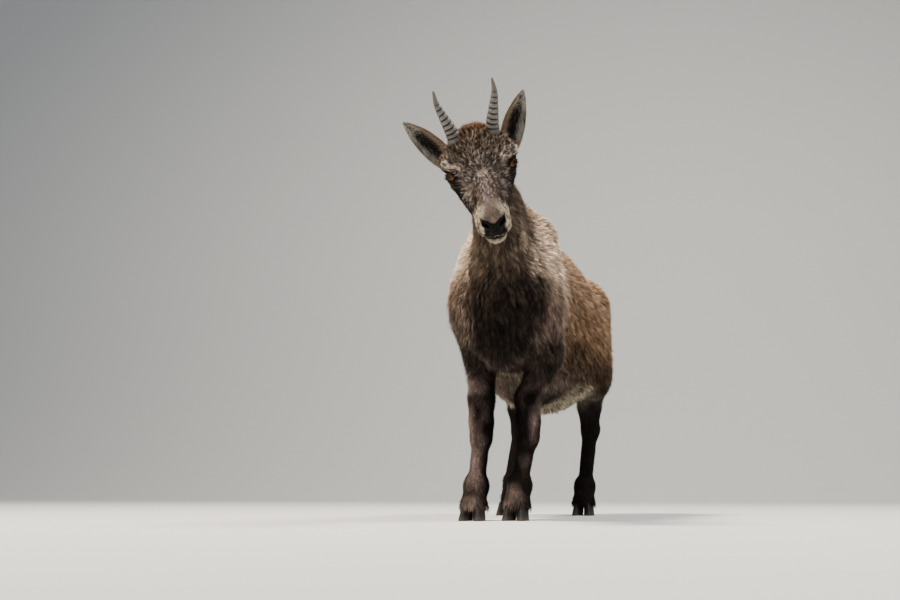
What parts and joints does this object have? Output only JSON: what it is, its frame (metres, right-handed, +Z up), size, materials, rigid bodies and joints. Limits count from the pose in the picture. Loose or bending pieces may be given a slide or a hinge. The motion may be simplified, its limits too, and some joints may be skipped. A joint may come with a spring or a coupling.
{
  "type": "alpine ibex",
  "caption": "Young alpine ibex with short ringed horns, standing still with its head lowered a little and turned, life size.",
  "frame": {"origin": "middle of the bounding box's underside, on the floor", "axes": "+X is the animal's left, -Y is forward, +Z is up"},
  "size_m": [0.2974, 0.9048, 0.7869],
  "materials": {
    "body_coat": "short dense fawn fur",
    "neck_coat": "short dark grey-brown fur",
    "face_coat": "short grizzled fur",
    "ear_coat": "very short fur, pale inside",
    "dark_coat": "short blackish-brown fur",
    "horn": "ringed horn, satin",
    "hoof": "worn dark horn",
    "eye": "wet amber eye"
  },
  "bodies": {
    "root": {"head": "face_coat", "neck": "neck_coat", "torso": "body_coat", "tail": "dark_coat", "forearm_fore_right": "dark_coat", "cannon_fore_right": "dark_coat", "hoof_fore_right_outer": "hoof", "hoof_fore_right_inner": "hoof", "forearm_fore_left": "dark_coat", "cannon_fore_left": "dark_coat", "hoof_fore_left_inner": "hoof", "hoof_fore_left_outer": "hoof", "gaskin_hind_right": "dark_coat", "cannon_hind_right": "dark_coat", "hoof_hind_right_outer": "hoof", "hoof_hind_right_inner": "hoof", "gaskin_hind_left": "dark_coat", "cannon_hind_left": "dark_coat", "hoof_hind_left_inner": "hoof", "hoof_hind_left_outer": "hoof", "eye_left": "eye", "horn_left": "horn", "ear_left": "ear_coat", "eye_right": "eye", "horn_right": "horn", "ear_right": "ear_coat"}
  },
  "joints": []
}
